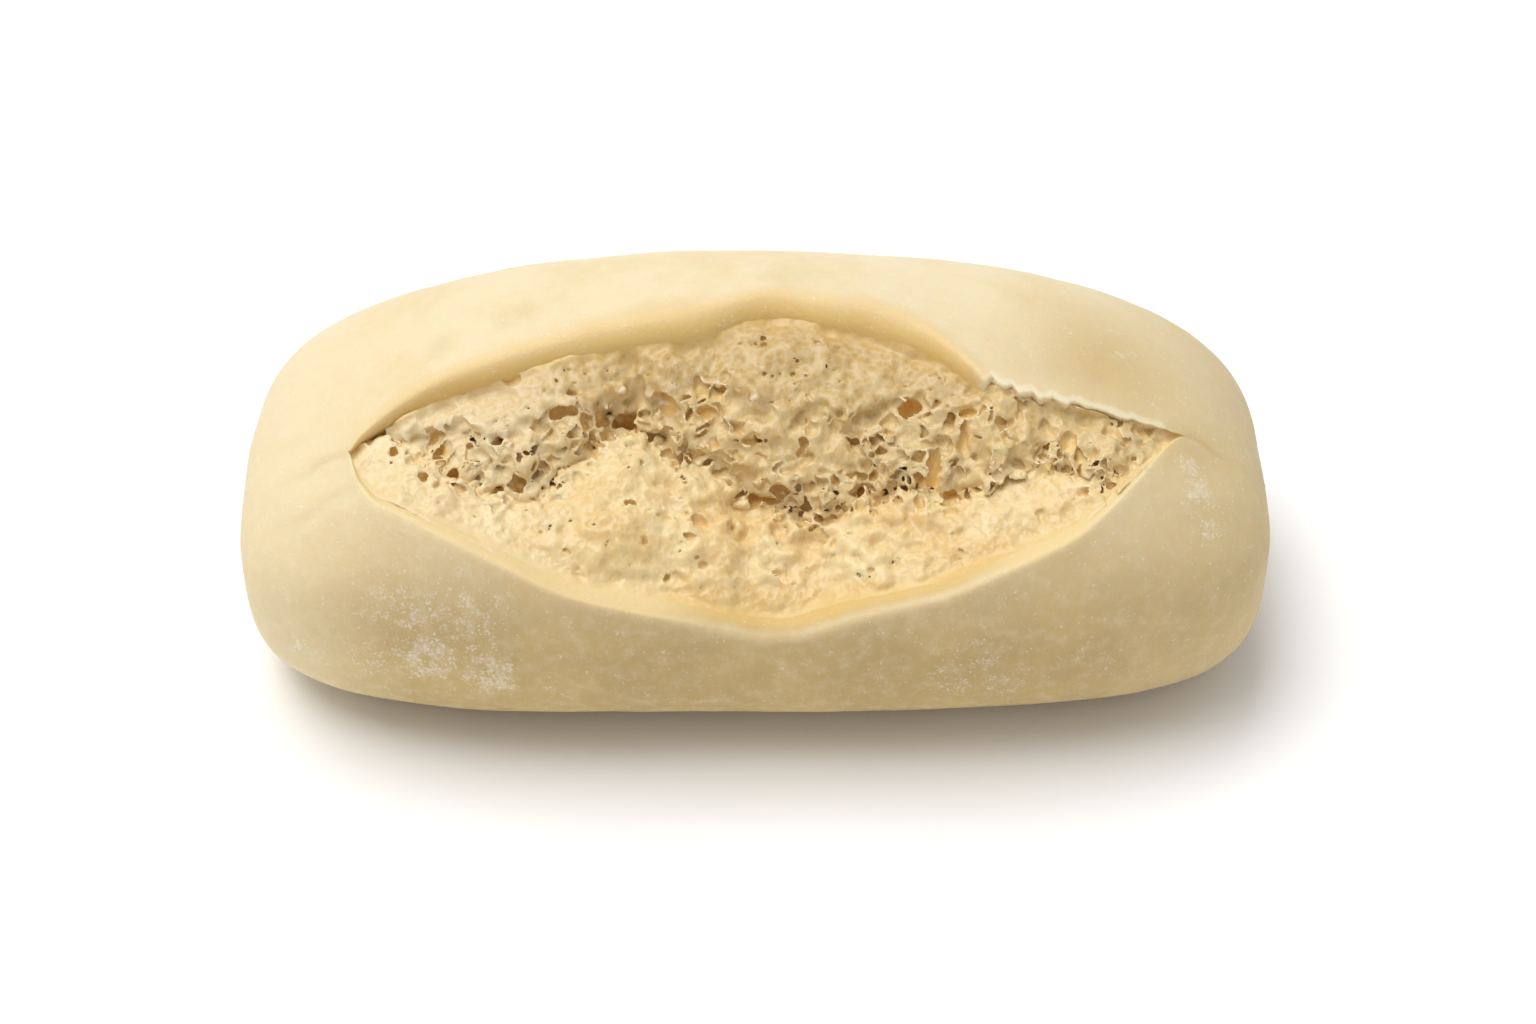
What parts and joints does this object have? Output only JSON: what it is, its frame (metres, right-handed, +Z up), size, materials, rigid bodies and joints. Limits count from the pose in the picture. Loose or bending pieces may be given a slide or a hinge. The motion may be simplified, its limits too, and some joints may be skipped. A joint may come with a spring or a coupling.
{
  "type": "bread roll",
  "caption": "Pale, soft-crusted oblong bread roll, torn open along its front and crown so that the crumb shows.",
  "frame": {"origin": "on the flat resting face, under the middle of the roll", "axes": "+X along the roll, +Y from its split front to its back, +Z up"},
  "size_m": [0.14, 0.0706, 0.0509],
  "materials": {
    "crust": "soft, pale, unbrowned bread crust, satin to matte",
    "crumb": "open, moist bread crumb, translucent at its thin walls"
  },
  "bodies": {
    "root": {"bread_roll": "crust"}
  },
  "joints": []
}
